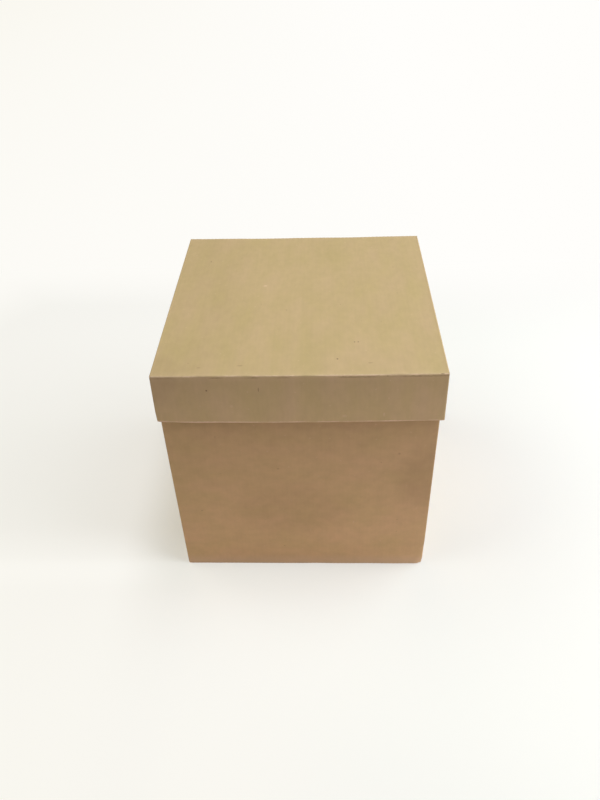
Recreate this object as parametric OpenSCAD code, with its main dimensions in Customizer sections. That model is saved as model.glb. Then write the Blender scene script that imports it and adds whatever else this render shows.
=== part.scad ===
// Square lift-off-lid box of micro-flute cardboard: a deep tray and a shallow lid that slides down
// over it. Each of the two is one die-cut sheet, creased, folded up and glued at four corner tabs.
// Origin: centre of the base's underside. +Z up, front towards -Y. Millimetres.

/* [Base] */
// Outside width of the base, left to right
base_w = 196; // [120:1:300]
// Outside depth of the base, front to back
base_d = 196; // [120:1:300]
// Outside height of the base, floor to the cut top edge
base_h = 198.5; // [100:0.5:300]
// Width of a base glue tab, from its fold to its free edge
base_tab_w = 30; // [15:1:45]

/* [Lid] */
// Height of the lid, top face to the cut lower edge of its rim
rim_h = 40; // [24:1:80]
// Width of a lid glue tab, from its fold to its free edge
lid_tab_w = 26; // [15:1:45]
// Sliding gap between the base and the lid's side walls and glue tabs, on each side
slide_gap = 0.5; // [0.3:0.1:2]

/* [Board] */
// Thickness of the board, which is also the outer radius of every fold
board_t = 1.5; // [1:0.1:3]
// How far the cut edges of the front and back walls stop short of the box's outer side faces
edge_setback = 0.2; // [0.1:0.1:0.9]
// Gap from a tab's ends to the panel at its foot and to the wall's cut edge
tab_relief = 0.5; // [0.2:0.1:4]
// Slant of a tab's two ends, in degrees
tab_slant = 8; // [0:1:15]

/* [Hidden] */
$fn = 48;

// The lid's front and back walls stand off by one board more than its sides, for the glue tabs
// between them and the base.
lid_w = base_w + 2 * (slide_gap + board_t);
lid_d = base_d + 2 * (slide_gap + 2 * board_t);

// The lid's top panel lies on the base's cut edges.
closed_h = base_h + board_t;

base_colour = [0.66, 0.52, 0.37];
lid_colour = [0.74, 0.63, 0.45];

// The outside of one 90-degree fold: a quarter round along +Z, in the +X +Y quarter
module fold(length) {
    linear_extrude(height = length)
        intersection() {
            circle(r = board_t);
            square(board_t);
        }
}

// The sheet's middle panel, up to the four creases round it
module floor_panel(w, d) {
    translate([-w / 2 + board_t, -d / 2 + board_t, 0])
        cube([w - 2 * board_t, d - 2 * board_t, board_t]);
}

// Right-hand side wall, with its crease to the floor. It ends where its two tabs fold in.
module side_wall(w, d, h) {
    run = d - 4 * board_t;
    translate([w / 2 - board_t, -run / 2, board_t])
        cube([board_t, run, h - board_t]);
    translate([w / 2 - board_t, run / 2, board_t])
        rotate([90, 0, 0])
            mirror([0, 1, 0])
                fold(run);
}

// Rear wall, with its crease to the floor. It is glued on outside the tabs.
module end_wall(w, d, h) {
    run = w - 2 * edge_setback;
    translate([-run / 2, d / 2 - board_t, board_t])
        cube([run, board_t, h - board_t]);
    translate([-run / 2, d / 2 - board_t, board_t])
        rotate([90, 0, 90])
            mirror([0, 1, 0])
                fold(run);
}

// Glue tab of the right-hand wall, folded in behind the rear wall
module glue_tab(w, d, h, tab_w) {
    foot = board_t + tab_relief;
    head = h - tab_relief;
    taper = tab_w * tan(tab_slant);
    translate([w / 2 - board_t, d / 2 - 2 * board_t, foot])
        fold(head - foot);
    translate([w / 2 - board_t, d / 2 - board_t, 0])
        rotate([90, 0, 0])
            linear_extrude(height = board_t)
                polygon([[0, foot], [0, head], [-tab_w, head - taper], [-tab_w, foot + taper]]);
}

// One folded sheet: a tray open at the top, w by d by h over its outer faces
module folded_tray(w, d, h, tab_w) {
    floor_panel(w, d);
    for (side = [0, 1])
        mirror([side, 0, 0]) {
            side_wall(w, d, h);
            for (end = [0, 1])
                mirror([0, end, 0])
                    glue_tab(w, d, h, tab_w);
        }
    for (end = [0, 1])
        mirror([0, end, 0])
            end_wall(w, d, h);
}

// The deep tray that holds the contents
module base() {
    color(base_colour)
        folded_tray(base_w, base_d, base_h, base_tab_w);
}

// The shallow tray turned upside down over the base
module lid() {
    color(lid_colour)
        translate([0, 0, closed_h])
            mirror([0, 0, 1])
                folded_tray(lid_w, lid_d, rim_h, lid_tab_w);
}

base();
lid();
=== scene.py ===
# A kraft cardboard box with a lift-off lid. Each half is one sheet of micro-flute board: it is cut
# flat here, with its two liners and the wavy paper between them, and then folded up.
import math

import bmesh
import bpy
from mathutils import Euler, Matrix, Vector, noise


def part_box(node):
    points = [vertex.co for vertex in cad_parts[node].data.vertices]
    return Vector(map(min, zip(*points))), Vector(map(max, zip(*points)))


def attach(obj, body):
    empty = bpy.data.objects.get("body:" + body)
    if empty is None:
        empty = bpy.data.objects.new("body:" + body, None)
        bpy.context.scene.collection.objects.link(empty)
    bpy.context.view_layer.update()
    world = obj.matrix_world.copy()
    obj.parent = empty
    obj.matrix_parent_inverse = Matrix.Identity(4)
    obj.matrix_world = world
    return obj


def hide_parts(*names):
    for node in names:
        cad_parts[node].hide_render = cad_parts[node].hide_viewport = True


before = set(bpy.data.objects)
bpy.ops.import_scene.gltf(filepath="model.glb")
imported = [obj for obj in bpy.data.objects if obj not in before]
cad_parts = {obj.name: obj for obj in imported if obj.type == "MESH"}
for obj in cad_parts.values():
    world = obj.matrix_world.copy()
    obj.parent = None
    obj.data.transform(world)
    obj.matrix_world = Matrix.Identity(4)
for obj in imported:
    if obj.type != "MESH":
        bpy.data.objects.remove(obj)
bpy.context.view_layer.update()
baseLow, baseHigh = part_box("base")
lidLow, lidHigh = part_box("lid")

mm = 0.001
up = Vector((0, 0, 1))
tiny = 1e-6
quarterTurn = math.pi / 2
print("frame loaded")


def addObject(name, data):
    made = bpy.data.objects.new(name, data)
    bpy.context.scene.collection.objects.link(made)
    return made


def addMesh(name, bm):
    mesh = bpy.data.meshes.new(name)
    bm.to_mesh(mesh)
    bm.free()
    return addObject(name, mesh)


# Camera: fitted to the corners of the box in the photograph
camera = {
    "place": (16.0 * mm, -472.2 * mm, 481.4 * mm),
    "turn": (50.870, 1.484, 1.166),     # degrees, XYZ
    "lens": 31.87,
    "sensor": 36.0,
    "nearest": 0.01,             # metres that it sees from and to
    "farthest": 50,
}


def addCamera():
    lensData = bpy.data.cameras.new("camera")
    lensData.lens = camera["lens"]
    lensData.sensor_width = camera["sensor"]
    lensData.clip_start = camera["nearest"]
    lensData.clip_end = camera["farthest"]
    shooter = addObject("camera", lensData)
    shooter.location = camera["place"]
    shooter.rotation_euler = Euler([math.radians(a) for a in camera["turn"]])
    bpy.context.scene.camera = shooter


addCamera()
print("camera set")


# Board: what both sheets are cut from
board = {
    "thick": lidHigh.z - baseHigh.z,
    "liner": 0.25 * mm,          # thickness of the paper on each face
    "pitch": 3.3 * mm,           # one flute
    "foldRadius": 0.8 * mm,      # outside of a fold
    "scored": 0.42,              # share of the thickness left along a scored crease
    "scoreFlat": 0.5 * mm,
    "scoreReach": 2.2 * mm,
    "crest": 0.12 * mm,          # how far a fold stands proud of the panels beside it
    "ripple": 0.11 * mm,         # how far the liner sinks between flutes along a fold across them
    "washboard": 0.02 * mm,      # and on the open panels
    "rippleFade": (0.3 * mm, 1.6 * mm),         # from the fold's middle: whole, then gone
    "pinch": 0.3,                # how far the cutting rule squeezed the cut edges
    "pinchReach": 0.9 * mm,
    "cutSeed": 5,                # added to the sheet's seed
    "cutMean": 0.3,              # a ragged edge's mean, as a share of the sheet's roughCut
    "cutWaves": ((26, 0.8), (110, 0.2)),        # its waves: how many in a metre, and their share
    "dentMean": 0.1,
    "dents": 42,                 # in a metre of fold
    "dentFade": (0.6 * mm, 3 * mm),             # from the fold's outer faces: whole, then gone
    "sharpEdge": math.radians(60),              # edges above this stay sharp
}
bend = board["foldRadius"] * quarterTurn     # strip of flat board that a fold takes up

# Layers of the board from the outer face in: middle of the paper, its thickness, its wave, how many
# columns make a flute, how many rows make a fold, and how far apart the rows on a panel may be
layers = {
    "outerLiner": {
        "middle": board["liner"] / 2,
        "paper": board["liner"],
        "wave": 0.0,
        "perFlute": 3,
        "foldSteps": 5,
        "rowShare": 1.0,
    },
    "fluting": {
        "middle": board["thick"] / 2,
        "paper": 0.2 * mm,
        "wave": board["thick"] / 2 - 0.32 * mm,     # the crests bite a little into the liners
        "perFlute": 5,
        "foldSteps": 3,
        "rowShare": 3.0,
    },
    "innerLiner": {
        "middle": board["thick"] - board["liner"] / 2,
        "paper": board["liner"],
        "wave": 0.0,
        "perFlute": 2,
        "foldSteps": 3,
        "rowShare": 1.0,
    },
}


def cut(bm, at, across, inside=None, trim=False):
    # a straight cut through the flat sheet; trim throws away what lies past it
    faces = [f for f in bm.faces if inside is None or inside(f.calc_center_median())]
    edges = {e for f in faces for e in f.edges}
    verts = {v for f in faces for v in f.verts}
    bmesh.ops.bisect_plane(
        bm, geom=[*verts, *edges, *faces], dist=tiny, plane_co=at, plane_no=across, clear_outer=trim
    )


def foldRows(crease, layer):
    # a fold's own rows, with the liners' extra ones where the scored groove runs out
    steps = layer["foldSteps"]
    rows = [crease + bend * i / steps for i in range(steps + 1)]
    if layer["rowShare"] > 1:
        return rows
    runOut = board["scoreReach"] - bend / 2
    return [crease - runOut, crease - runOut / 2, *rows, rows[-1] + runOut / 2, rows[-1] + runOut]


def spread(start, end, longest):
    # evenly spaced rows between two others
    count = math.ceil((end - start) / longest)
    return [start + (end - start) * i / count for i in range(1, count)]


def planSheet(sheet):
    # where the creases and cut edges lie on a quarter of the flat sheet
    width, depth, height = sheet["size"]
    thick, radius = board["thick"], board["foldRadius"]
    plan = {
        "sideCrease": width / 2 - radius,
        "endCrease": depth / 2 - radius,
        "tabCrease": depth / 2 - thick - sheet["glue"] - radius,
        "endEdge": width / 2 - sheet["setback"],
        "slant": math.tan(math.radians(sheet["tabSlant"])),
    }
    plan["sideRim"] = plan["sideCrease"] + bend + height - radius
    plan["endRim"] = plan["endCrease"] + bend + height - radius
    plan["tabFoot"] = plan["sideCrease"] + bend + thick + sheet["tabRelief"] - radius
    plan["tabHead"] = plan["sideRim"] - sheet["tabRelief"]
    plan["tabEnd"] = plan["tabCrease"] + bend + thick + sheet["tab"] - radius
    plan["cornerEnd"] = plan["tabCrease"] + radius
    plan["cornerTop"] = plan["tabFoot"] - sheet["tabRelief"] / 2
    return plan


def cutQuarter(sheet, plan, layer):
    # the flat sheet from the middle of its panel out to the rims of two walls
    step = board["pitch"] / layer["perFlute"]
    columns = math.ceil(plan["sideRim"] / step)
    rowGap = sheet["rows"] * layer["rowShare"]
    bm = bmesh.new()
    bmesh.ops.create_grid(bm, x_segments=columns, y_segments=1, size=0.5)
    bmesh.ops.translate(bm, verts=bm.verts, vec=(0.5, 0.5, 0))
    bmesh.ops.scale(bm, verts=bm.verts, vec=(columns * step, plan["endRim"], 1))
    across, along = Vector((1, 0, 0)), Vector((0, 1, 0))
    cut(bm, across * plan["sideRim"], across, trim=True)
    for place in (plan["tabCrease"], plan["cornerEnd"], plan["endCrease"]):
        cut(bm, along * place, along)
    for place in (plan["sideCrease"], plan["endEdge"], plan["cornerTop"]):
        cut(bm, across * place, across)

    def isEnd(c):
        return c.x < plan["endEdge"] and c.y > plan["endCrease"]

    def isSide(c):
        return c.x > plan["sideCrease"] and c.y < plan["tabCrease"]

    def isCorner(c):
        return c.y > plan["tabCrease"] and c.x > plan["sideCrease"] and not isEnd(c)

    # the glue tab, with its slanted ends
    cut(bm, along * plan["tabEnd"], along, isCorner)
    for place, side in ((plan["tabFoot"], -1), (plan["tabHead"], 1)):
        cut(bm, (place, plan["tabCrease"], 0), Vector((side, plan["slant"], 0)), isCorner)

    def isCornerStrip(c):
        return isCorner(c) and c.y < plan["cornerEnd"] and c.x < plan["cornerTop"]

    def isTab(c):
        past = c.y - plan["tabCrease"]
        fromFoot = c.x - plan["tabFoot"] - past * plan["slant"]
        fromHead = plan["tabHead"] - past * plan["slant"] - c.x
        return isCorner(c) and c.y < plan["tabEnd"] and min(fromFoot, fromHead) > 0

    centres = [(f, f.calc_center_median()) for f in bm.faces]
    waste = [f for f, c in centres if isCorner(c) and not isTab(c) and not isCornerStrip(c)]
    bmesh.ops.delete(bm, geom=waste, context="FACES")

    # rows over the folds, at the squeezed edges and on the open panels
    soft = board["pinchReach"]
    for x in foldRows(plan["sideCrease"], layer):
        cut(bm, across * x, across, lambda c: c.y < plan["cornerEnd"])
    for x in (plan["sideRim"] - soft, plan["sideRim"] - soft / 2):
        cut(bm, across * x, across, lambda c: c.x > plan["endEdge"])
    for x in (plan["endEdge"] - soft, plan["endEdge"] - soft / 2):
        cut(bm, across * x, across, isEnd)
    for y in spread(0, plan["tabCrease"], rowGap):
        cut(bm, along * y, along, lambda c: c.y < plan["tabCrease"])
    for y in foldRows(plan["endCrease"], layer):
        cut(bm, along * y, along, lambda c: c.x < plan["endEdge"])
    wallStart = plan["endCrease"] + bend
    wallRows = spread(wallStart, plan["endRim"], rowGap)
    for y in (*wallRows, plan["endRim"] - soft, plan["endRim"] - soft / 2):
        cut(bm, along * y, along, isEnd)
    for y in foldRows(plan["tabCrease"], layer):
        cut(bm, along * y, along, lambda c: c.x > plan["cornerTop"] and (isTab(c) or isSide(c)))
    return bm


def easeOut(distance, start, end):
    # 1 up to start and 0 from end on, with a soft change between
    share = min(1, max(0, (end - distance) / (end - start)))
    return share * share * (3 - 2 * share)


def scoring(plan, x, y):
    # how deep in a scored groove a place on the flat sheet lies
    half = bend / 2
    nearest = 1.0
    if y < plan["endCrease"]:
        nearest = abs(x - plan["sideCrease"] - half)
    if x < plan["endEdge"] + tiny:
        nearest = min(nearest, abs(y - plan["endCrease"] - half))
    if x > plan["sideCrease"] + bend:
        nearest = min(nearest, abs(y - plan["tabCrease"] - half))
    return easeOut(nearest, board["scoreFlat"], board["scoreReach"])


def edgeDistance(plan, x, y):
    # from a place on the flat sheet to the nearest rim or upright cut edge
    if y > plan["endCrease"] + bend - tiny and x < plan["endEdge"] + tiny:
        return min(plan["endRim"] - y, plan["endEdge"] - x)
    if x > plan["sideCrease"]:
        return plan["sideRim"] - x
    return board["pinchReach"]


def raiseLayer(bm, sheet, plan, layer):
    # gives a layer its paper thickness, waves, scored creases and squeezed edges
    flat = bm.verts.layers.float_vector.new("flat")
    made = bmesh.ops.extrude_face_region(bm, geom=bm.faces[:])["geom"]
    inner = {g for g in made if isinstance(g, bmesh.types.BMVert)}
    thick = board["thick"]
    outermost = layer is layers["outerLiner"]
    for v in bm.verts:
        v[flat] = v.co
        x, y = abs(v.co.x), abs(v.co.y)
        beat = math.cos(2 * math.pi * v.co.x / board["pitch"])
        height = layer["middle"] + layer["wave"] * beat
        height += layer["paper"] / 2 if v in inner else -layer["paper"] / 2
        groove = scoring(plan, x, y)
        height *= 1 - (1 - board["scored"]) * groove
        if outermost:
            overFold = abs(y - plan["endCrease"] - bend / 2) if x < plan["endEdge"] + tiny else 1.0
            sink = board["ripple"] * easeOut(overFold, *board["rippleFade"])
            height += max(sink, board["washboard"]) * (1 + beat) / 2
        closeness = max(0, 1 - edgeDistance(plan, x, y) / board["pinchReach"])
        height = thick / 2 + (height - thick / 2) * (1 - board["pinch"] * closeness ** 2)
        drift = noise.noise(Vector((v.co.x, v.co.y, sheet["seed"])) * sheet["warpScale"])
        v.co.z = height + sheet["warp"] * (0.5 + 0.5 * drift) + board["crest"] * (1 - groove)
        place = Vector((v.co.x, v.co.y, sheet["seed"] + board["cutSeed"]))
        uneven = board["cutMean"]
        for size, share in board["cutWaves"]:
            uneven += share * noise.noise(place * size)
        uneven = sheet["roughCut"] * max(0, uneven)
        if plan["endRim"] - y < tiny:
            v.co.y -= math.copysign(uneven, v.co.y)
        elif plan["sideRim"] - x < tiny:
            v.co.x -= math.copysign(uneven, v.co.x)
    bmesh.ops.recalc_face_normals(bm, faces=bm.faces)
    return flat


def foldUp(flap, flat, direction, crease):
    # turns the flap towards the inner face, a little at a time across the fold
    axis = direction.cross(up)
    centre = direction * crease + up * board["foldRadius"]
    for v in flap:
        taken = min(v[flat].dot(direction) - crease, bend)
        turn = Matrix.Rotation(quarterTurn * taken / bend, 3, axis)
        v.co = centre + turn @ (v.co - direction * taken - centre)


def foldSheet(bm, plan, flat):
    # glue tabs first, then the side walls that carry them, then the end walls outside the tabs
    sides, ends = [Vector((-1, 0, 0)), Vector((1, 0, 0))], [Vector((0, -1, 0)), Vector((0, 1, 0))]

    def onTab(v):
        return abs(v[flat].y) > plan["tabCrease"] and abs(v[flat].x) > plan["tabFoot"] - tiny

    def onSide(v):
        return onTab(v) or abs(v[flat].y) < plan["cornerEnd"] + tiny

    def onEnd(v):
        return abs(v[flat].x) < plan["endEdge"] + tiny

    for end in ends:
        tabs = [v for v in bm.verts if v[flat].dot(end) > plan["tabCrease"] and onTab(v)]
        foldUp(tabs, flat, end, plan["tabCrease"])
    for side in sides:
        wall = [v for v in bm.verts if v[flat].dot(side) > plan["sideCrease"] and onSide(v)]
        foldUp(wall, flat, side, plan["sideCrease"])
    for end in ends:
        wall = [v for v in bm.verts if v[flat].dot(end) > plan["endCrease"] and onEnd(v)]
        foldUp(wall, flat, end, plan["endCrease"])


def makeLayer(sheet, plan, layer):
    bm = cutQuarter(sheet, plan, layer)
    for axis in "XY":
        bmesh.ops.mirror(bm, geom=bm.faces[:] + bm.edges[:] + bm.verts[:], axis=axis, merge_dist=tiny)
    flat = raiseLayer(bm, sheet, plan, layer)
    for e in bm.edges:
        e.smooth = e.calc_face_angle(0) < board["sharpEdge"]
    foldSheet(bm, plan, flat)
    sheetMap = bm.loops.layers.uv.new("sheetMap")     # metres on the flat sheet
    for f in bm.faces:
        f.smooth = True
        for loop in f.loops:
            loop[sheetMap].uv = loop.vert[flat].xy
    return bm


def settle(bm, sheet):
    # how the folded sheet really stands: bulged walls, bowed rims, a sagging panel, knocked corners.
    # x and y run from -1 to 1 and z from 0 at the panel to 1 at the rim; a high power of z changes
    # only the end near the rim.
    width, depth, height = sheet["size"]
    for v in bm.verts:
        x, y, z = v.co.x / width * 2, v.co.y / depth * 2, v.co.z / height
        midX, midY = max(0, 1 - x * x), max(0, 1 - y * y)
        hump = math.sin(math.pi * min(max(z, 0), 1))
        lean = sheet["sideLean"] * (1 - z) + sheet["rimLean"] * z + sheet["rimPinch"] * z ** 16
        v.co.x += x * (sheet["sideBulge"] * hump * midY - lean)
        v.co.x += sheet["skew"] * z + sheet["rimShift"] * z ** 8
        bow = (sheet["endBow"] + sheet["rimBow"] * z * z) * (1 - midX)
        v.co.y += y * (sheet["endBulge"] * hump * midX - sheet["endLean"] * (1 - z) - bow)
        v.co.y -= sheet["twist"] * x * (1 - z) + sheet["rimClose"] * y * z ** 6
        v.co.z += (sheet["sag"] - sheet["rimDip"] * z ** 3 * abs(y) ** 3) * midX + sheet["deepen"] * z
        place = Vector((v.co.x * board["dents"], y, sheet["seed"]))
        dent = sheet["foldDents"] * max(0, board["dentMean"] + noise.noise(place))
        fromPanel = easeOut(v.co.z, *board["dentFade"])
        dent *= fromPanel * easeOut(depth / 2 - abs(v.co.y), *board["dentFade"])
        v.co += Vector((0, -math.copysign(dent, y), dent))
        for knock in sheet["knocks"]:
            near = easeOut((v.co - Vector(knock["place"])).length, 0, knock["reach"])
            v.co += Vector(knock["push"]) * near
    if sheet["turnedOver"]:
        halfTurn = Matrix.Rotation(math.pi, 3, "X")
        bmesh.ops.rotate(bm, verts=bm.verts, cent=(0, 0, 0), matrix=halfTurn)
        bmesh.ops.translate(bm, verts=bm.verts, vec=(0, 0, lidHigh.z))


def makeSheet(sheet):
    plan = planSheet(sheet)
    whole = bmesh.new()
    for index, layer in enumerate(layers.values()):
        bm = makeLayer(sheet, plan, layer)
        for f in bm.faces:
            f.material_index = index
        part = bpy.data.meshes.new("part")
        bm.to_mesh(part)
        bm.free()
        whole.from_mesh(part)
        bpy.data.meshes.remove(part)
    settle(whole, sheet)
    piece = addMesh(sheet["name"], whole)
    triangles = sum(len(p.vertices) - 2 for p in piece.data.polygons)
    print(sheet["name"], "has", triangles, "triangles")
    return piece


# Base and lid: the lid's sheet is folded like the base's and then turned over

baseSheet = {
    "name": "baseSheet",
    "size": tuple(baseHigh - baseLow),
    "turnedOver": False,
    "tab": 30 * mm,              # width of a glue tab
    "tabRelief": 0.5 * mm,       # gap at a tab's two ends
    "tabSlant": 8,               # degrees
    "glue": 0.03 * mm,           # between a tab and the wall outside it
    "setback": 0.2 * mm,         # the end walls' cut edges stop this far short of the side faces
    "rows": 45 * mm,             # longest row of faces on an open panel
    "roughCut": 0.4 * mm,        # ragged cut edges
    "foldDents": 0.25 * mm,
    "sideBulge": 0.35 * mm,      # outwards, in the middle of the walls
    "endBulge": 0.3 * mm,
    "skew": -0.45 * mm,          # the head stands to the left of the foot
    "twist": 0.4 * mm,           # of the foot against the head
    "sideLean": 0.3 * mm,        # inwards: the side walls at the panel, then at the rim
    "rimLean": 0.3 * mm,
    "rimPinch": 0.25 * mm,       # more at the very rim, which the lid hides
    "rimShift": 0.45 * mm,       # the lid holds the head nearer the middle
    "rimClose": 0.75 * mm,       # and its tabs push the end walls in
    "endLean": 0.0,              # inwards: the end walls at the panel
    "endBow": 0.0,               # inwards at their two ends, then more of it at the rim
    "rimBow": 0.0,
    "sag": 0.0,                  # of the panel's middle
    "deepen": -0.2 * mm,         # change in the height of the rim
    "rimDip": 0.5 * mm,          # in the middle of the end walls
    "warp": 0.1 * mm,            # of the sheet, and its size per metre
    "warpScale": 14,
    "seed": 3.1,
    "knocks": (
        {"place": (0.098, -0.098, 0.0), "reach": 6 * mm, "push": (-1.0 * mm, 0.8 * mm, 0.8 * mm)},
        {"place": (-0.098, -0.098, 0.0), "reach": 3 * mm, "push": (0.3 * mm, 0.3 * mm, 0.2 * mm)},
        {"place": (-0.098, -0.098, 0.1985), "reach": 80 * mm, "push": (0, 0, -0.75 * mm)},
        {"place": (0.098, -0.098, 0.1985), "reach": 12 * mm, "push": (0, 0, -0.3 * mm)},
    ),
}

lidSheet = {
    "name": "lidSheet",
    "size": tuple(lidHigh - lidLow),
    "turnedOver": True,
    "tab": 26 * mm,
    "tabRelief": 0.5 * mm,
    "tabSlant": 8,
    "glue": 0.03 * mm,
    "setback": 0.2 * mm,
    "rows": 12 * mm,
    "roughCut": 0.6 * mm,
    "foldDents": 0.45 * mm,
    "sideBulge": 0.0,
    "endBulge": 0.0,
    "skew": 0.0,
    "twist": 0.0,
    "sideLean": 0.5 * mm,
    "rimLean": 0.0,
    "rimPinch": 0.0,
    "rimShift": 0.0,
    "rimClose": 0.0,
    "endLean": 1.1 * mm,
    "endBow": 0.2 * mm,
    "rimBow": 0.35 * mm,
    "sag": 0.5 * mm,
    "deepen": 0.3 * mm,
    "rimDip": 0.0,
    "warp": 0.08 * mm,
    "warpScale": 14,
    "seed": 7.4,
    "knocks": (
        {"place": (-0.1, 0.1015, 0.04), "reach": 3 * mm, "push": (0.5 * mm, -0.3 * mm, -0.3 * mm)},
        {"place": (-0.1, 0.1015, 0.04), "reach": 22 * mm, "push": (0, 0, -0.6 * mm)},
        {"place": (-0.1, 0.1015, 0.0), "reach": 60 * mm, "push": (0, 0, 0.55 * mm)},
    ),
}


# Kraft paper: its patterns are laid out on the flat sheet, with their sizes in mm across and along it

paperGloss = 0.25                # specular level of every paper

outsidePaper = {
    "bumpHeight": 0.05 * mm,
    "bumpClots": 0.5,            # shares of the clots and the fibres in the bump
    "bumpFibres": 0.6,
    "roughness": 0.86,
    "roughFibres": 0.08,
    "clouds": 0.072,             # tone of soft patches
    "cloudTurn": 4,              # degrees
    "fibres": 0.032,
    "fibreGrain": (((0.22, 1.9), 8), ((0.2, 1.4), -35)),        # size, then degrees
    "flutes": 0.008,             # tone of the faint lines over the flutes
    "fluteMean": 0.6,
    "fluteFade": (30, 9),
    "patchTurn": -3,
    "patchContrast": 2.2,
    "specks": {"gap": 15.0, "share": 0.09, "radius": 0.35, "turn": 0, "tone": 0.3},
    "flecks": {"gap": 11.0, "share": 0.3, "radius": 0.4, "turn": 41, "tone": 0.2},
}

# Wear on the outside, partly painted light at the folds, rims and the base's foot, and a painted shade
# line beside the end folds, by the distance from a fold or a cut edge. Each pair is where the wear
# ends and where it is whole.
wearLightAndShade = {
    "raggedSize": (2.4, 1.1),
    "ragged": 1.2 * mm,
    "unevenSize": (13, 60),      # stretches with more and with less wear and painted light
    "unevenMean": 0.8,
    "unevenContrast": 2.6,
    "endFold": (1.0 * mm, 0.2 * mm),
    "sideFold": (0.8 * mm, 0.1 * mm),
    "rim": (1.8 * mm, 0.6 * mm),
    "rubbedAndLitWhole": 0.5 * mm,     # the look gives where the rubbed and painted light band ends
    "rubbedAndLitRagged": 3,
    "creaseAway": 1.5 * mm,      # the painted shade line's distance from the fold's middle
    "crease": (0.7 * mm, 0.1 * mm),
    "creaseSize": (26, 60),
    "creasePatchy": (-0.02, 0.16),              # where it comes up in its random pattern
}


def plug(tree, socket, value):
    # a link from another node's output, or the socket's own number or colour
    if isinstance(value, bpy.types.NodeSocket):
        tree.links.new(value, socket)
    else:
        socket.default_value = value


def calc(tree, operation, *values):
    made = tree.nodes.new("ShaderNodeMath")
    made.operation = operation
    for socket, value in zip(made.inputs, values):
        plug(tree, socket, value)
    return made.outputs[0]


def axesOf(tree, vector):
    made = tree.nodes.new("ShaderNodeSeparateXYZ")
    plug(tree, made.inputs[0], vector)
    return made.outputs


def lengthOf(tree, vector):
    made = tree.nodes.new("ShaderNodeVectorMath")
    made.operation = "LENGTH"
    plug(tree, made.inputs[0], vector)
    return made.outputs["Value"]


def ease(tree, value, start, end):
    # 0 at start and 1 at end, whichever is the larger
    made = tree.nodes.new("ShaderNodeMapRange")
    made.interpolation_type = "SMOOTHSTEP"
    plug(tree, made.inputs["Value"], value)
    plug(tree, made.inputs["From Min"], min(start, end))
    plug(tree, made.inputs["From Max"], max(start, end))
    made.inputs["To Min"].default_value = 0 if start < end else 1
    made.inputs["To Max"].default_value = 1 if start < end else 0
    return made.outputs["Result"]


def turned(tree, place, size, angle=0):
    # the sheet's place in units of size, across and along
    made = tree.nodes.new("ShaderNodeMapping")
    plug(tree, made.inputs["Vector"], place)
    made.inputs["Rotation"].default_value = (0, 0, math.radians(angle))
    made.inputs["Scale"].default_value = (1 / (size[0] * mm), 1 / (size[1] * mm), 1)
    return made.outputs["Vector"]


def grain(tree, place, size, angle=0, detail=2.0):
    # soft random pattern around 0
    made = tree.nodes.new("ShaderNodeTexNoise")
    made.noise_dimensions = "2D"
    plug(tree, made.inputs["Vector"], turned(tree, place, size, angle))
    made.inputs["Scale"].default_value = 1
    made.inputs["Detail"].default_value = detail
    return calc(tree, "SUBTRACT", made.outputs["Fac"], 0.5)


def blendColour(tree, share, first, second, how="MIX"):
    # the Mix node's colour sockets are inputs 6 and 7 and output 2
    made = tree.nodes.new("ShaderNodeMix")
    made.data_type = "RGBA"
    made.blend_type = how
    made.clamp_factor = True
    plug(tree, made.inputs[0], share)
    plug(tree, made.inputs[6], first)
    plug(tree, made.inputs[7], second)
    return made.outputs[2]


spotShape = {
    "least": 0.35,               # shares of a spot's radius: its smallest size,
    "ragged": 1.2,               # how ragged and how soft its outline is
    "soft": 0.3,
    "raggedSize": (0.5, 0.5),
    "markEdge": (1.1, 0.5),      # where a single mark ends and where it is whole, in its half widths
}


def specks(tree, place, kind):
    # scattered spots: one in a cell of the given gap, in some cells only
    gap = kind["gap"]
    radius = kind["radius"] / gap
    made = tree.nodes.new("ShaderNodeTexVoronoi")
    made.voronoi_dimensions = "2D"
    plug(tree, made.inputs["Vector"], turned(tree, place, (gap, gap), kind["turn"]))
    made.inputs["Scale"].default_value = 1
    apart = tree.nodes.new("ShaderNodeSeparateColor")
    plug(tree, apart.inputs[0], made.outputs["Color"])
    chosen = calc(tree, "GREATER_THAN", apart.outputs[0], 1 - kind["share"])
    size = calc(tree, "MULTIPLY", chosen, radius)
    size = calc(tree, "MULTIPLY", size, calc(tree, "ADD", apart.outputs[1], spotShape["least"]))
    outline = grain(tree, place, spotShape["raggedSize"], kind["turn"])
    reach = calc(tree, "MULTIPLY_ADD", outline, radius * spotShape["ragged"], made.outputs["Distance"])
    spot = ease(tree, calc(tree, "SUBTRACT", reach, size), radius * spotShape["soft"], 0)
    return calc(tree, "MULTIPLY", calc(tree, "MULTIPLY", spot, chosen), kind["tone"])


def marks(tree, place, listed):
    # spots at given places on the sheet: (across, along, half width, half length, strength) in mm
    total = 0.0
    for x, y, wide, long, strength in listed:
        made = tree.nodes.new("ShaderNodeVectorMath")
        made.operation = "MULTIPLY_ADD"
        plug(tree, made.inputs[0], place)
        made.inputs[1].default_value = (1 / (wide * mm), 1 / (long * mm), 0)
        made.inputs[2].default_value = (-x / wide, -y / long, 0)
        spot = ease(tree, lengthOf(tree, made.outputs[0]), *spotShape["markEdge"])
        total = calc(tree, "MAXIMUM", total, calc(tree, "MULTIPLY", spot, strength))
    return total


def newMaterial(name):
    material = bpy.data.materials.new(name)
    material.use_nodes = True
    return material, material.node_tree, material.node_tree.nodes["Principled BSDF"]


def newPaper(name):
    material, tree, shader = newMaterial(name)
    uv = tree.nodes.new("ShaderNodeUVMap")
    uv.uv_map = "sheetMap"
    return material, tree, shader, uv.outputs["UV"]


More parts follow.
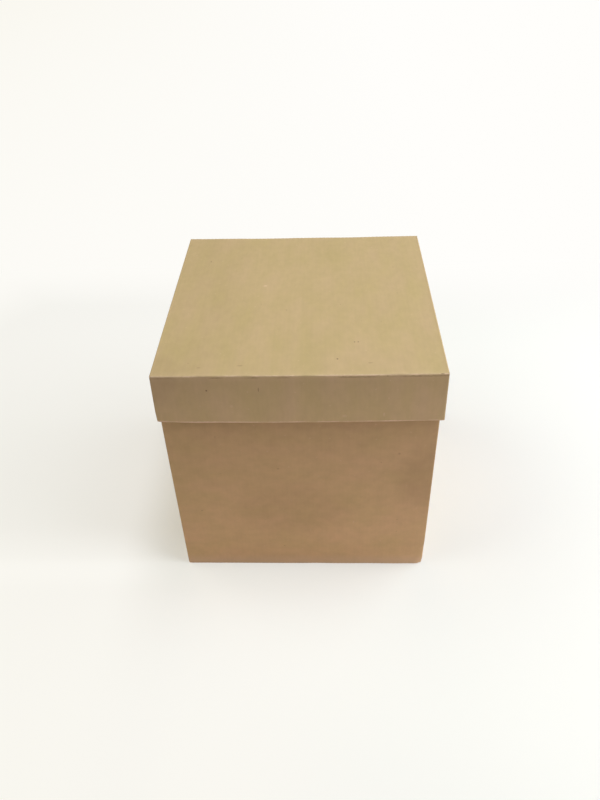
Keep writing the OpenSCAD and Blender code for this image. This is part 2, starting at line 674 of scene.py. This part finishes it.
def finishPaper(tree, shader, colour, height, roughness, bumpHeight):
    plug(tree, shader.inputs["Base Color"], colour)
    plug(tree, shader.inputs["Roughness"], roughness)
    shader.inputs["Specular IOR Level"].default_value = paperGloss
    bump = tree.nodes.new("ShaderNodeBump")
    bump.inputs["Strength"].default_value = 1.0
    bump.inputs["Distance"].default_value = bumpHeight
    plug(tree, bump.inputs["Height"], height)
    plug(tree, shader.inputs["Normal"], bump.outputs[0])


def awayFrom(tree, value, line):
    # distance of a coordinate from a line on the sheet
    return calc(tree, "ABSOLUTE", calc(tree, "SUBTRACT", value, line))


def fibreGrain(tree, place, fine):
    # fibres that lie mostly two ways
    lengthwise, crosswise = [grain(tree, place, *fibre) for fibre in fine["fibreGrain"]]
    return calc(tree, "ADD", lengthwise, crosswise)


def fluteLines(tree, place, across, fine):
    # faint lines over the flutes, clearer in some places than in others
    wave = calc(tree, "MULTIPLY", across, 2 * math.pi / board["pitch"])
    shown = calc(tree, "ADD", grain(tree, place, fine["fluteFade"]), fine["fluteMean"])
    return calc(tree, "MULTIPLY", calc(tree, "COSINE", wave), shown)


def mottled(tree, pattern, contrast, colours, tone):
    # two colours in equal shares, and then lighter and darker by the tone
    share = calc(tree, "MULTIPLY_ADD", pattern, contrast, 0.5)
    return blendColour(tree, 1.0, blendColour(tree, share, *colours), tone, "MULTIPLY")


def wearLightAndShadePlaces(tree, place, plan, look, across, along):
    # how worn the folds and rims are, with the painted light on them, and how deep the painted shade
    # line beside a fold is
    half = bend / 2
    sideFold = awayFrom(tree, across, plan["sideCrease"] + half)
    endFold = awayFrom(tree, along, plan["endCrease"] + half)
    tabFold = awayFrom(tree, along, plan["tabCrease"] + half)
    onPanel = calc(tree, "LESS_THAN", across, plan["sideCrease"])
    tabFold = calc(tree, "ADD", tabFold, onPanel)       # there is no tab fold on the panel
    fromSideRim = calc(tree, "SUBTRACT", plan["sideRim"], across)
    fromEndRim = calc(tree, "SUBTRACT", plan["endRim"], along)
    ragged = grain(tree, place, wearLightAndShade["raggedSize"], detail=3)
    ragged = calc(tree, "MULTIPLY", ragged, wearLightAndShade["ragged"])
    uneven = grain(tree, place, wearLightAndShade["unevenSize"], detail=3)
    uneven = calc(tree, "MULTIPLY_ADD", uneven, wearLightAndShade["unevenContrast"], wearLightAndShade["unevenMean"])

    # the end folds: paler with wear, partly a painted highlight along the lid's top folds and painted
    # light at the base's foot
    ends = ease(tree, calc(tree, "ADD", endFold, ragged), *wearLightAndShade["endFold"])
    ends = calc(tree, "MULTIPLY", calc(tree, "MULTIPLY", ends, uneven), look["endFoldWearAndLight"])
    sides = calc(tree, "ADD", calc(tree, "MINIMUM", sideFold, tabFold), ragged)
    sides = calc(tree, "MULTIPLY", ease(tree, sides, *wearLightAndShade["sideFold"]), look["sideFoldWear"])
    # a soft lighter band beside the end folds: wear, and on the base painted light lifting the shade
    # at its foot
    rubbedAndLit = calc(tree, "MULTIPLY_ADD", ragged, wearLightAndShade["rubbedAndLitRagged"], endFold)
    rubbedAndLit = ease(tree, rubbedAndLit, look["rubbedAndLitReach"], wearLightAndShade["rubbedAndLitWhole"])
    rubbedAndLit = calc(tree, "MULTIPLY", rubbedAndLit, look["rubbedAndLit"])
    # the rims: paler with wear, and on the lid partly painted light where its squeezed rim edge faces
    # the lit floor
    rims = calc(tree, "ADD", calc(tree, "MINIMUM", fromSideRim, fromEndRim), ragged)
    rims = calc(tree, "MULTIPLY", ease(tree, rims, *wearLightAndShade["rim"]), uneven)
    rims = calc(tree, "MULTIPLY", rims, look["rimWearAndLight"])
    wornAndLit = ends
    for more in (sides, rubbedAndLit, rims):
        wornAndLit = calc(tree, "MAXIMUM", wornAndLit, more)

    # painted shade: a dark line just outside the fold of an end wall, where the fold shades the wall,
    # deep in some places and lost in others
    patchy = ease(tree, grain(tree, place, wearLightAndShade["creaseSize"]), *wearLightAndShade["creasePatchy"])
    line = awayFrom(tree, calc(tree, "ADD", endFold, ragged), wearLightAndShade["creaseAway"])
    line = ease(tree, line, *wearLightAndShade["crease"])
    line = calc(tree, "MULTIPLY", line, calc(tree, "GREATER_THAN", along, plan["endCrease"] + half))
    line = calc(tree, "MULTIPLY", calc(tree, "MULTIPLY", line, patchy), look["creaseShadeLine"])
    return wornAndLit, line


def outside(sheet, plan, look):
    # the outer liner: clouds, clots, fibres, worn folds and rims with painted light on them, painted
    # shade by the folds and rims, specks, scuffs, stains and patches of painted shade
    material, tree, shader, place = newPaper(sheet["name"] + "Outside")
    fine = outsidePaper
    axes = axesOf(tree, place)
    across = calc(tree, "ABSOLUTE", axes[0])
    along = calc(tree, "ABSOLUTE", axes[1])
    clouds = grain(tree, place, look["cloudSize"], fine["cloudTurn"], detail=3)
    clots = grain(tree, place, look["clotSize"], detail=4)
    fibres = fibreGrain(tree, place, fine)
    flutes = fluteLines(tree, place, axes[0], fine)

    # painted shade and light: the walls get a little darker or lighter from the fold to the rim, for
    # the lid's shadow on the base and the floor's light on the lid's rim
    tone = calc(tree, "MULTIPLY_ADD", clouds, fine["clouds"], 1)
    tone = calc(tree, "MULTIPLY_ADD", clots, look["clots"], tone)
    tone = calc(tree, "MULTIPLY_ADD", fibres, fine["fibres"], tone)
    tone = calc(tree, "MULTIPLY_ADD", flutes, fine["flutes"], tone)
    upSide = calc(tree, "SUBTRACT", across, plan["sideCrease"])
    upEnd = calc(tree, "SUBTRACT", along, plan["endCrease"])
    rise = ease(tree, calc(tree, "MAXIMUM", upSide, upEnd), 0, sheet["size"][2])
    tone = calc(tree, "MULTIPLY", tone, calc(tree, "MULTIPLY_ADD", rise, look["paintedRimShading"], 1))

    patches = grain(tree, place, look["patchSize"], fine["patchTurn"], detail=6)
    paper = mottled(tree, patches, fine["patchContrast"], look["colours"], tone)
    wornAndLit, line = wearLightAndShadePlaces(tree, place, plan, look, across, along)
    # wear, partly painted light at the folds, rims and the base's foot
    paper = blendColour(tree, wornAndLit, paper, look["wornAndLit"])
    # painted shade: the dark line just outside the end folds
    paper = blendColour(tree, line, paper, look["bark"])
    for spots, listed, colour in (("specks", "darkMarks", "bark"), ("flecks", "paleMarks", "wornAndLit")):
        here = specks(tree, place, fine[spots])
        here = calc(tree, "MAXIMUM", here, marks(tree, place, look[listed]))
        paper = blendColour(tree, here, paper, look[colour])

    height = calc(tree, "MULTIPLY", fibres, fine["bumpFibres"])
    height = calc(tree, "MULTIPLY_ADD", clots, fine["bumpClots"], height)
    rough = calc(tree, "MULTIPLY_ADD", fibres, fine["roughFibres"], fine["roughness"])
    finishPaper(tree, shader, paper, height, rough, fine["bumpHeight"])
    return material


insidePaper = {
    "colours": ((0.47, 0.335, 0.175, 1), (0.40, 0.28, 0.145, 1)),
    "dark": (0.12, 0.07, 0.035, 1),
    "cloudSize": (30, 24),
    "cloudTurn": 60,
    "cloudContrast": 1.8,
    "clotSize": (2.2, 3.0),
    "clots": 0.12,
    "fibreGrain": (((0.2, 1.7), 5), ((0.2, 1.3), 40)),
    "fibres": 0.08,
    "flutes": 0.05,
    "fluteMean": 0.7,
    "fluteFade": (25, 8),
    "specks": {"gap": 9.0, "share": 0.3, "radius": 0.4, "turn": 0, "tone": 0.45},
    "bumpHeight": 0.06 * mm,
    "bumpFlutes": 0.8,
    "bumpFibres": 0.5,
    "roughness": 0.9,
}


def inside(sheet):
    # the inner liner: duller, with the flutes showing through it
    material, tree, shader, place = newPaper(sheet["name"] + "Inside")
    fine = insidePaper
    clouds = grain(tree, place, fine["cloudSize"], fine["cloudTurn"], detail=3)
    clots = grain(tree, place, fine["clotSize"], detail=4)
    fibres = fibreGrain(tree, place, fine)
    flutes = fluteLines(tree, place, axesOf(tree, place)[0], fine)
    tone = calc(tree, "MULTIPLY_ADD", fibres, fine["fibres"], 1)
    tone = calc(tree, "MULTIPLY_ADD", clots, fine["clots"], tone)
    tone = calc(tree, "MULTIPLY_ADD", flutes, fine["flutes"], tone)
    paper = mottled(tree, clouds, fine["cloudContrast"], fine["colours"], tone)
    paper = blendColour(tree, specks(tree, place, fine["specks"]), paper, fine["dark"])
    height = calc(tree, "MULTIPLY", fibres, fine["bumpFibres"])
    height = calc(tree, "MULTIPLY_ADD", flutes, fine["bumpFlutes"], height)
    finishPaper(tree, shader, paper, height, fine["roughness"], fine["bumpHeight"])
    return material


flutingPaper = {
    "colours": ((0.40, 0.275, 0.145, 1), (0.32, 0.215, 0.11, 1)),
    "clotSize": (1.4, 1.9),
    "clotContrast": 2.5,
    "fibreSize": (0.2, 1.2),
    "fibreTurn": 20,
    "fibres": 0.2,
    "bumpHeight": 0.05 * mm,
    "roughness": 0.92,
}


def fluting(sheet):
    # the wavy paper, seen only at cut edges
    material, tree, shader, place = newPaper(sheet["name"] + "Fluting")
    fine = flutingPaper
    clots = grain(tree, place, fine["clotSize"], detail=4)
    fibres = grain(tree, place, fine["fibreSize"], fine["fibreTurn"])
    tone = calc(tree, "MULTIPLY_ADD", fibres, fine["fibres"], 1)
    paper = mottled(tree, clots, fine["clotContrast"], fine["colours"], tone)
    finishPaper(tree, shader, paper, fibres, fine["roughness"], fine["bumpHeight"])
    return material


baseLook = {
    "colours": ((0.596, 0.427, 0.203, 1), (0.651, 0.442, 0.229, 1)),
    "cloudSize": (38, 21),       # mm across and along the sheet
    "patchSize": (44, 26),
    "clotSize": (8, 7),
    "clots": 0.17,               # tone of the pulp's small clots
    "paintedRimShading": -0.17,            # painted shade: darker from a wall's fold up to its rim, under the lid
    "wornAndLit": (0.76, 0.58, 0.39, 1),
    "bark": (0.15, 0.085, 0.04, 1),
    # painted shade line just outside the end folds
    "creaseShadeLine": 0.1,
    # partly painted light at the foot of the walls
    "endFoldWearAndLight": 0.35,
    "sideFoldWear": 0.15,
    "rubbedAndLit": 0.45,              # of the soft lighter band beside the folds of the end walls: wear, and on the base painted light that lifts the shade at the foot of the walls
    "rubbedAndLitReach": 14 * mm,
    "rimWearAndLight": 0.3,
    "darkMarks": (
        (-17.3, -209.2, 1.2, 0.8, 0.25),
        (-79.4, -163.3, 1.0, 0.9, 0.25),
        (71.7, -223.9, 1.1, 1.1, 0.25),
        (100.0, -197.0, 34.0, 40.0, 0.16),      # a faint stain
        (-8.0, -164.5, 52.0, 32.0, 0.11),       # and a fainter one
    ),
    "paleMarks": ((40.0, -150.0, 0.5, 1.6, 0.25),),
}

lidLook = {
    "colours": ((0.506, 0.391, 0.192, 1), (0.536, 0.399, 0.219, 1)),
    "cloudSize": (17, 48),
    "patchSize": (18, 50),
    "clotSize": (5, 8),
    "clots": 0.12,
    # painted light: the lid's walls get lighter towards the rim, which faces the lit floor
    "paintedRimShading": 0.09,
    "wornAndLit": (0.76, 0.58, 0.39, 1),
    "bark": (0.15, 0.09, 0.045, 1),
    # painted shade line just outside the end folds
    "creaseShadeLine": 0.32,
    # partly a painted highlight along the top's front and back folds
    "endFoldWearAndLight": 0.6,
    "sideFoldWear": 0.15,
    "rubbedAndLit": 0.10,
    "rubbedAndLitReach": 6 * mm,
    # partly painted light along the rim edge, which faces the lit floor
    "rimWearAndLight": 0.85,
    "darkMarks": (
        (-76.6, -58.5, 0.7, 0.9, 0.6),
        (26.3, 82.6, 0.8, 0.8, 0.75),
        (38.7, 62.4, 0.6, 0.8, 0.6),
        (41.3, 62.4, 0.6, 0.8, 0.6),
        (-67.8, 91.6, 2.0, 0.8, 0.25),
        (-39.8, 89.7, 2.4, 0.9, 0.25),
        (48.5, 87.6, 2.0, 0.8, 0.25),
        (-10.7, 18.9, 0.6, 0.9, 0.25),
        (-62.4, 113.1, 0.8, 0.8, 0.7),
        (-27.2, 112.6, 0.5, 2.3, 0.4),
        (95.3, 101.3, 1.6, 0.4, 0.8),
        (-100.0, 100.0, 24.0, 34.0, 0.14),      # painted shade: darker at the front left corner, away from the lamps on the right
        (-95.0, 0.0, 60.0, 200.0, 0.065),       # painted shade: darker over the whole left end, away from the lamps on the right
    ),
    "paleMarks": (
        (-28.7, -17.4, 1.8, 0.9, 0.6),
        (58.0, 134.5, 0.7, 2.0, 0.3),
        (-46.5, 126.5, 1.3, 1.6, 0.15),
        (31.0, 135.5, 2.0, 1.4, 0.2),
    ),
}


def dress(piece, sheet, look):
    for material in (outside(sheet, planSheet(sheet), look), fluting(sheet), inside(sheet)):
        piece.data.materials.append(material)


basePiece = makeSheet(baseSheet)
dress(basePiece, baseSheet, baseLook)
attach(basePiece, "base")
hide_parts("base")

lidPiece = makeSheet(lidSheet)
dress(lidPiece, lidSheet, lidLook)
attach(lidPiece, "lid")
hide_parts("lid")
print("sheets folded")


# Studio: a pale floor, two soft lamps overhead, one low on the right and a dim room. A range on the
# floor runs from where a change starts to where it is whole, in metres.

studio = {
    "floorSize": 8.0,            # from its middle to an edge
    "floorColour": (0.97, 0.86, 0.87, 1),
    "floorRoughness": 0.9,
    "floorGloss": 0.1,
    "tintLeft": (0.965, 0.98, 0.955, 1),        # of the floor as the camera sees it, lighter on the left as painted light in the box's shadow
    "tintRight": (0.935, 0.958, 0.91, 1),
    "tintTurns": (-0.12, 0.15),
    "shadeBesideTint": (0.845, 0.888, 0.85, 1),      # painted shade: darker close to the sides of the box
    "besideAcross": (0.17, 0.1),
    "besideAlong": (-0.13, -0.08),
    "besideSlant": -0.1,
    "backdrop": (1.0, 0.99, 0.965, 1),
    "backdropLeft": (0.935, 0.91, 0.825, 1),    # painted shade: it darkens to the left, away from the lamps on the right, and towards the viewer
    "brightFront": 0.45,         # share of its brighter colour towards the viewer
    "brightBehind": 0.45,        # more of it behind the box
    "brightTurns": (-0.3, 0.5),
    "brightRight": 0.5,          # more for each metre to the right
    "brightFar": (2.6, 6),       # and nothing else far away
    "backdropNear": 0.25,        # share of plain backdrop in the floor beside the box
    "backdropAround": (0.25, 0.6),
    "backdropBehind": (0.15, 0.42),
    "lampSize": 1.2,
    "lampAim": (0, 0, 0.1),
    "lamps": {
        "highRight": {"place": (0.8, 0.0, 1.2), "power": 12.9, "colour": (0.87, 0.955, 1.0)},
        "highLeft": {"place": (-0.8, 0.0, 1.2), "power": 10.3, "colour": (1.0, 0.93, 0.80)},
        "lowRight": {"place": (1.1, -0.2, 0.5), "power": 10.0, "colour": (1.0, 0.89, 0.98)},
    },
    "room": (0.02, 0.02, 0.02, 1),
}

# painted light: these stretches lighten the box's own shadow on the floor as the camera sees it
# Stretches of the floor with more of the backdrop in them: how much more, and the ranges, each
# across the floor (0) or away from the viewer (1)
stretches = (
    {"more": 0.42, "ranges": ((0, -0.1, -0.165),)},     # to the left, where the box's shadow falls
    {"more": 0.2, "ranges": ((1, -0.05, -0.11), (0, 0.18, -0.05))},     # in front
    {"more": 0.09, "ranges": ((1, -0.13, -0.107), (1, -0.09, -0.1))},   # close to the front wall
    {"more": 0.4, "ranges": ((0, 0.06, -0.06), (0, -0.16, -0.08), (1, -0.1, -0.27))},
)                                # the last is at the front left, where the shadow ends


def seenItself(tree):
    # 1 for rays that show a surface itself: from the camera, by way of a mirror or glass too
    rays = tree.nodes.new("ShaderNodeLightPath")
    seen = calc(tree, "MAXIMUM", rays.outputs["Is Camera Ray"], rays.outputs["Is Glossy Ray"])
    return calc(tree, "MAXIMUM", seen, rays.outputs["Is Transmission Ray"])


def mixShaders(tree, share, first, second, surface):
    mix = tree.nodes.new("ShaderNodeMixShader")
    for socket, value in zip(mix.inputs, (share, first.outputs[0], second.outputs[0])):
        plug(tree, socket, value)
    plug(tree, surface.inputs["Surface"], mix.outputs[0])


def backdropShare(tree, across, along, length):
    # little of it near the box, more in the stretches and nothing else far away
    fade = studio["backdropNear"]
    for stretch in stretches:
        share = 1.0
        for axis, start, end in stretch["ranges"]:
            share = calc(tree, "MULTIPLY", share, ease(tree, (across, along)[axis], start, end))
        fade = calc(tree, "MULTIPLY_ADD", share, stretch["more"], fade)
    fade = calc(tree, "MAXIMUM", fade, ease(tree, length, *studio["backdropAround"]))
    return calc(tree, "MAXIMUM", fade, ease(tree, along, *studio["backdropBehind"]))


def addFloor():
    bm = bmesh.new()
    bmesh.ops.create_grid(bm, x_segments=1, y_segments=1, size=studio["floorSize"])
    floor = addMesh("floor", bm)

    # the camera sees a whiter floor, which turns into a plain backdrop away from the box
    material, tree, shader = newMaterial("floorPaper")
    shader.inputs["Roughness"].default_value = studio["floorRoughness"]
    shader.inputs["Specular IOR Level"].default_value = studio["floorGloss"]
    place = tree.nodes.new("ShaderNodeTexCoord").outputs["Object"]
    across, along = axesOf(tree, place)[:2]
    length = lengthOf(tree, place)
    seen = seenItself(tree)

    # painted shade on the floor close to the sides of the box
    paintedShadeBeside = ease(tree, calc(tree, "ABSOLUTE", across), *studio["besideAcross"])
    slanted = calc(tree, "MULTIPLY_ADD", across, studio["besideSlant"], along)
    paintedShadeBeside = calc(tree, "MULTIPLY", paintedShadeBeside, ease(tree, slanted, *studio["besideAlong"]))
    # painted light: the floor as the camera sees it is lighter on the left, in the box's shadow
    toRight = ease(tree, across, *studio["tintTurns"])
    tint = blendColour(tree, toRight, studio["tintLeft"], studio["tintRight"])
    tint = blendColour(tree, paintedShadeBeside, tint, studio["shadeBesideTint"])
    tint = blendColour(tree, seen, studio["floorColour"], tint)
    plug(tree, shader.inputs["Base Color"], tint)

    # painted shade: the backdrop darker to the left and towards the viewer
    bright = ease(tree, along, *studio["brightTurns"])
    bright = calc(tree, "MULTIPLY_ADD", bright, studio["brightBehind"], studio["brightFront"])
    bright = calc(tree, "MULTIPLY_ADD", across, studio["brightRight"], bright)
    bright = calc(tree, "MAXIMUM", bright, ease(tree, length, *studio["brightFar"]))
    glow = tree.nodes.new("ShaderNodeEmission")
    backdrop = blendColour(tree, bright, studio["backdropLeft"], studio["backdrop"])
    plug(tree, glow.inputs["Color"], backdrop)
    share = calc(tree, "MULTIPLY", backdropShare(tree, across, along, length), seen)
    mixShaders(tree, share, shader, glow, tree.nodes["Material Output"])
    floor.data.materials.append(material)


def addLamps():
    for name, lamp in studio["lamps"].items():
        lampData = bpy.data.lights.new(name, "AREA")
        lampData.shape = "DISK"
        lampData.size = studio["lampSize"]
        lampData.energy = lamp["power"]
        lampData.color = lamp["colour"]
        lit = addObject(name, lampData)
        lit.location = lamp["place"]
        aim = Vector(studio["lampAim"]) - lit.location
        lit.rotation_euler = aim.to_track_quat("-Z", "Y").to_euler()


def addRoom():
    world = bpy.data.worlds.new("room")
    world.use_nodes = True
    bpy.context.scene.world = world
    tree = world.node_tree
    dim = tree.nodes["Background"]
    dim.inputs["Color"].default_value = studio["room"]
    white = tree.nodes.new("ShaderNodeBackground")
    white.inputs["Color"].default_value = studio["backdrop"]
    mixShaders(tree, seenItself(tree), dim, white, tree.nodes["World Output"])


addFloor()
addLamps()
addRoom()
bpy.context.scene.view_settings.view_transform = "Standard"
print("studio lit")
